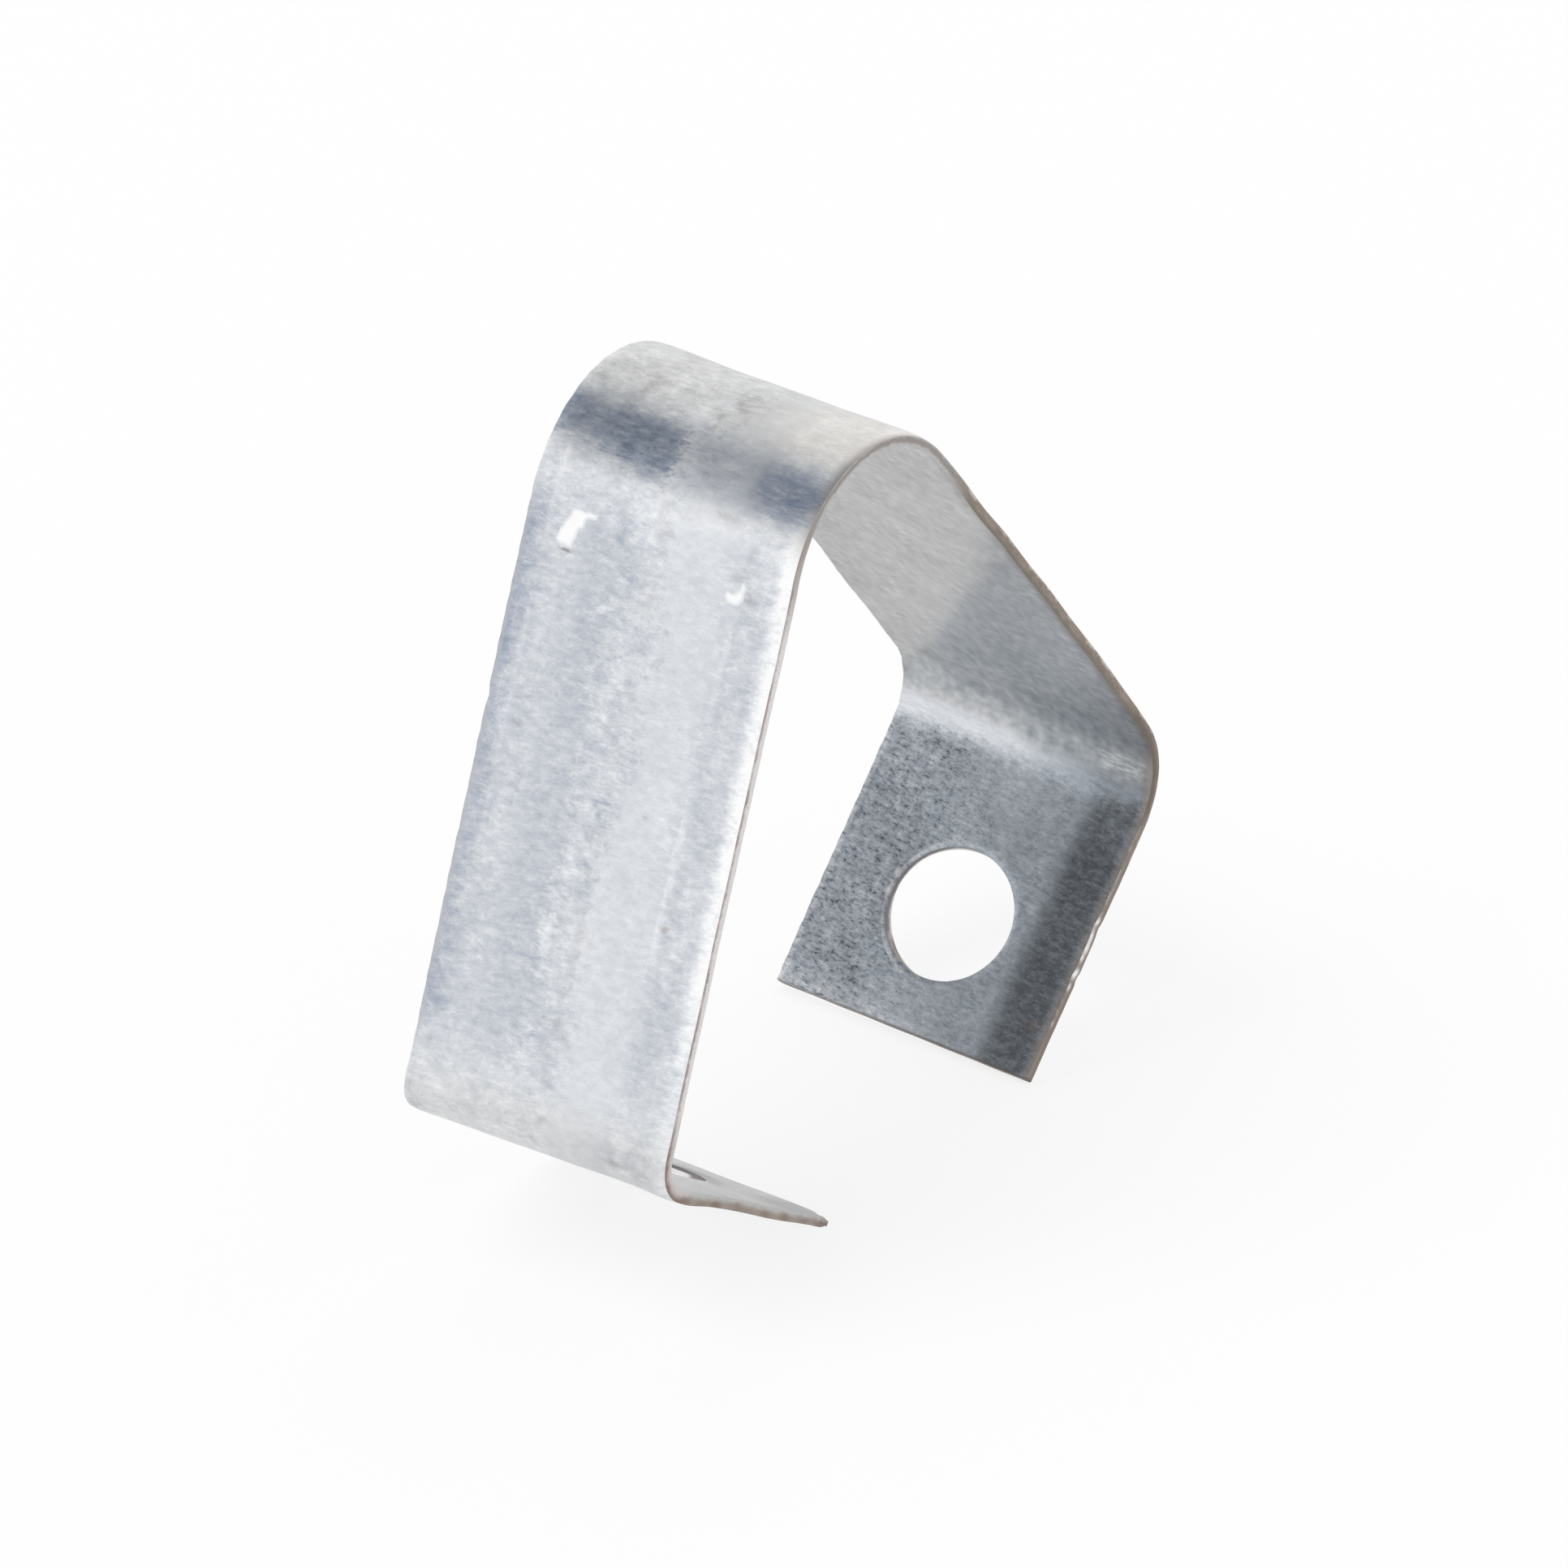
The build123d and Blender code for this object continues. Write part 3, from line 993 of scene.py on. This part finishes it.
def paint_front_leg_edge(graph, lip, patches):
    """Pale, with a soft brown line along the outer lip."""
    along = graph.along
    leg = rise(along, 5, 12)
    graph.paint(LIGHT, leg * rise(along, 10, 17, 0.35, 1))
    graph.paint(ROSE, leg * rise(lip, 0.42, 0.78) * rise(patches, 0.35, 0.6, 0.45, 0.85))
    graph.paint(SPOT, rise(along, 54, 59) * rise(lip, 0.15, 0.7, 0.25, 0.7))


def paint_front_ear_edge(graph, lip, medium):
    """Grey-brown towards the outer face with soft darker spots, and worn at the tip."""
    across, along = graph.across, graph.along
    ear = rise(along, 62.5, 65)
    low = rise(lip, 0.1, 0.6)
    graph.paint(LIP, ear)
    graph.paint(TAN, ear * low * 0.9)
    ragged = swing(medium, 1.8)
    for s_mark, half_s, strength in EAR_EDGE_SPOTS:
        graph.paint(SPOT, low * graph.spot(EDGE, s_mark, 1.2, half_s, ragged, strength))
    graph.paint(DARK, rise(along, 84.3, 86.3, 0, 0.55) * rise(across, 8, 12))


def paint_back_ear_edge(graph, lip, medium):
    """Light along the inner lip, brown outside and nicked white at the right."""
    across, along, height = graph.across, graph.along, graph.height
    ear = rise(along, -67, -71)
    graph.paint(UMBER, ear * 0.7)
    graph.paint(LIP, ear * rise(lip, 0.6, 0.25, 0, 0.6) * rise(medium, 0.4, 0.6, 0.2, 0.9))
    graph.paint(UMBER, rise(along, -84, -88, 0, 0.7))
    graph.paint(DARK, rise(along, -91, -91.4) * rise(across, -9, 3, 0.5, 0.8))
    for s_mark, half_s, top, strength in EAR_EDGE_NICKS:
        nick = graph.spot(EDGE, s_mark, 1.2, half_s, 0, strength)
        graph.paint(CHALK, nick * rise(height, top + 0.25, top - 0.15))


def paint_hole_walls(graph, lip):
    """A painted shadow under the inner rim and pale below it; in the front ear's hole greyer to the right,
    with a painted highlight as a white spot.
    """
    across, along, height = graph.across, graph.along, graph.height
    wall = band(across, -10, 10, 1) * band(abs(along), 67, 84.6, 1)
    graph.paint(PALE, wall)
    # A painted shadow under the inner rim
    graph.paint(RIM_SHADOW, wall * rise(lip, 0.62, 0.28, 0, 0.85))
    front_wall = wall * rise(along, 0, 1)
    graph.paint(STONE, front_wall * rise(across, 1.4, 2.4, 0, 0.6))
    # A painted highlight on the front hole's far wall
    graph.paint(CHALK, front_wall * rise(height, 0.26, 0.38) * rise(across, 2.2, 1.4))


def cut_steel():
    """Slit edges, punched walls and ends: bare steel gone tan, between lips of smeared zinc."""
    graph = Graph("cut_steel")
    graph.colour = display(TAN)
    patches = graph.noise(2.6, seed=41, detail=3, roughness=0.7)
    medium = graph.noise(0.9, seed=42, detail=3, roughness=0.7)
    fine = graph.noise(0.22, seed=43, detail=1)
    lip = graph.height + swing(medium, 0.7) + swing(patches, 0.3)
    paint_back_leg_edge(graph, lip, patches, medium)
    paint_seat_edge(graph, lip)
    paint_front_leg_edge(graph, lip, patches)
    paint_front_ear_edge(graph, lip, medium)
    paint_back_ear_edge(graph, lip, medium)
    paint_hole_walls(graph, lip)
    graph.paint(UMBER, rise(fine, 0.5, 0.75, 0, 0.2))
    return graph.finish(1, 0.48, bump=fine, bump_depth=CUT_BUMP)


strap = make_strap()
for material in (outer_zinc(), inner_zinc(), cut_steel()):
    strap.data.materials.append(material)
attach(strap, "root")
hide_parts(NODE)


# Flecks of bright zinc that stand on the front leg, as outlines of places across and along
FLECKS = {
    "fleck_large": [
        (-8.5, 11.2), (-5.95, 11.15), (-6.05, 11.7), (-7.0, 12.05), (-7.1, 12.6), (-7.5, 13.0),
        (-7.65, 13.8), (-7.9, 14.6), (-9.2, 14.6), (-9.7, 14.2), (-9.4, 13.25), (-8.95, 12.3),
    ],
    "fleck_small": [
        (6.75, 13.9), (6.9, 13.35), (7.5, 13.3), (7.95, 13.15), (8.1, 12.5), (8.45, 12.15),
        (8.75, 12.6), (8.7, 13.5), (8.5, 14.3), (7.8, 14.55), (7.1, 14.4),
    ],
}
FLECK_STEP = 0.08
FLECK_MARGIN = 0.3
FLECK_SKIRT = 0.2
FLECK_RIPPLE = 0.02
FLECK_SUNK = 0.03
FLECK_RISE = 0.05


def inside_depth(x, s, outline):
    """Distance from a closed outline, positive inside."""
    depth = np.full(x.shape, np.inf)
    crossings = np.zeros(x.shape, dtype=int)
    for (x0, s0), (x1, s1) in zip(outline, outline[1:] + outline[:1]):
        dx, ds = x1 - x0, s1 - s0
        share = np.clip(((x - x0) * dx + (s - s0) * ds) / (dx**2 + ds**2), 0, 1)
        depth = np.minimum(depth, np.hypot(x - x0 - share * dx, s - s0 - share * ds))
        if ds:
            crossings += ((s0 > s) != (s1 > s)) & (x < dx * (s - s0) / ds + x0)
    return np.where(crossings % 2 == 1, depth, -depth)


def make_fleck(name, outline, material):
    """A thin fleck on the outer face. Its skirt is sunk into the strap."""
    low = np.min(outline, axis=0) - FLECK_MARGIN
    high = np.max(outline, axis=0) + FLECK_MARGIN
    x, s = np.meshgrid(np.arange(low[0], high[0], FLECK_STEP), np.arange(low[1], high[1], FLECK_STEP))
    random = np.random.default_rng(3)
    ragged = sum(
        FLECK_RIPPLE
        * np.sin(x * random.uniform(3, 9) + s * random.uniform(-9, 9) + random.uniform(0, 6))
        for _ in range(4)
    )
    depth = inside_depth(x, s, outline) + ragged
    height = THICKNESS / MM - FLECK_SUNK + (FLECK_SUNK + FLECK_RISE) * smooth_step(depth, -0.1, 0.3)
    points = place(s * MM, x * MM, height * MM).reshape(-1, 3)
    places = np.stack([x, s, depth], axis=-1).reshape(-1, 3)
    numbers = np.arange(x.size).reshape(x.shape)
    kept = (depth[:-1, :-1] > -FLECK_SKIRT) | (depth[1:, 1:] > -FLECK_SKIRT)
    corners = [numbers[:-1, :-1], numbers[:-1, 1:], numbers[1:, 1:], numbers[1:, :-1]]
    used, faces = np.unique(np.stack(corners, axis=-1)[kept], return_inverse=True)
    mesh = make_mesh(name, points[used], faces.reshape(-1, 4), places[used])
    mesh.materials.append(material)
    mesh.update()
    piece = add_object(name, mesh)
    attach(piece, "root")


fleck_material = bright_zinc()
for fleck_name, fleck_outline in FLECKS.items():
    make_fleck(fleck_name, fleck_outline, fleck_material)


# Camera
CAMERA_AZIMUTH = radians(36.19)
CAMERA_ELEVATION = radians(30.61)
CAMERA_DISTANCE = 1279 * MM
CAMERA_TARGET = Vector((0.52, 4.68, -25.32)) * MM
CAMERA_LENS = 368.8


def make_camera():
    data = bpy.data.cameras.new("camera")
    data.sensor_width = 36
    data.lens = CAMERA_LENS
    data.clip_start = 10 * MM
    data.clip_end = 10
    camera = add_object("camera", data)
    back = Vector((
        sin(CAMERA_AZIMUTH) * cos(CAMERA_ELEVATION),
        -cos(CAMERA_AZIMUTH) * cos(CAMERA_ELEVATION),
        sin(CAMERA_ELEVATION),
    ))
    camera.location = CAMERA_TARGET + back * CAMERA_DISTANCE
    camera.rotation_euler = (-back).to_track_quat("-Z", "Y").to_euler()
    bpy.context.scene.camera = camera


# Floor
FLOOR_REACH = 4.0
PAPER = (0.9, 0.9, 0.9, 1)
WHITE = (1, 1, 1, 1)
WHITE_SHARE = 0.8


def floor_material():
    """White paper, which the camera and mirrored rays see mostly as plain white."""
    material = new_material("floor")
    nodes = Nodes(material.node_tree)
    paper = nodes.node("ShaderNodeBsdfDiffuse", {"Color": PAPER})
    white = nodes.node("ShaderNodeEmission", {"Color": WHITE})
    rays = nodes.node("ShaderNodeLightPath").outputs
    seen = nodes.math("MAXIMUM", rays["Is Camera Ray"], rays["Is Glossy Ray"])
    layers = {0: seen * WHITE_SHARE, 1: paper.outputs[0], 2: white.outputs[0]}
    mix = nodes.node("ShaderNodeMixShader", layers)
    nodes.node("ShaderNodeOutputMaterial", {0: mix.outputs[0]})
    return material


def make_floor():
    """A square floor under the ear ends."""
    ground = cad_box[0].z
    mesh = bpy.data.meshes.new("floor")
    corners = [(x * FLOOR_REACH, y * FLOOR_REACH, ground) for x, y in ((-1, -1), (1, -1), (1, 1), (-1, 1))]
    mesh.from_pydata(corners, [], [(0, 1, 2, 3)])
    mesh.materials.append(floor_material())
    add_object("floor", mesh)


# Studio light: walls up to an elevation, a dimmer ceiling, and a window in a direction
WALL_LIGHT = 1.1
CEILING_LIGHT = 0.45
WALL_TOP = radians(28)
CEILING_EDGE = radians(52)
WINDOW_DIRECTION = Vector((-0.42, 0.66, 0.62)).normalized()
WINDOW_CORE = radians(24)
WINDOW_RIM = radians(38)
LAMP_STRENGTH = 1.2
LAMP_ANGLE = radians(40)
LAMP_FROM = Vector((-0.3, -0.5, 1.0))


def make_world():
    """The studio round the clamp. The camera sees it as plain white."""
    world = bpy.data.worlds.new("studio")
    bpy.context.scene.world = world
    world.use_nodes = True
    nodes = Nodes(world.node_tree)
    direction = nodes.node("ShaderNodeTexCoord").outputs["Generated"]
    upward = Value(nodes, nodes.node("ShaderNodeSeparateXYZ", {0: direction}).outputs[2])
    inputs = {0: direction, 1: WINDOW_DIRECTION}
    toward = nodes.node("ShaderNodeVectorMath", inputs, operation="DOT_PRODUCT").outputs["Value"]
    walls = rise(upward, sin(WALL_TOP), sin(CEILING_EDGE), WALL_LIGHT, CEILING_LIGHT)
    window = rise(Value(nodes, toward), cos(WINDOW_RIM), cos(WINDOW_CORE))
    studio = nodes.math("MAXIMUM", walls, window)
    seen = nodes.node("ShaderNodeLightPath").outputs["Is Camera Ray"]
    background = world.node_tree.nodes["Background"]
    nodes.join(nodes.math("MAXIMUM", studio, seen), background.inputs["Strength"])
    nodes.join(WHITE, background.inputs["Color"])


def make_lamp():
    """A wide soft lamp that lights the floor, so that the clamp throws a faint shadow on it."""
    lamp = bpy.data.lights.new("soft_lamp", "SUN")
    lamp.energy = LAMP_STRENGTH
    lamp.angle = LAMP_ANGLE
    holder = add_object("soft_lamp", lamp)
    holder.rotation_euler = LAMP_FROM.to_track_quat("Z", "Y").to_euler()
    holder.visible_glossy = False


make_camera()
make_floor()
make_world()
make_lamp()
bpy.context.scene.view_settings.view_transform = "Standard"
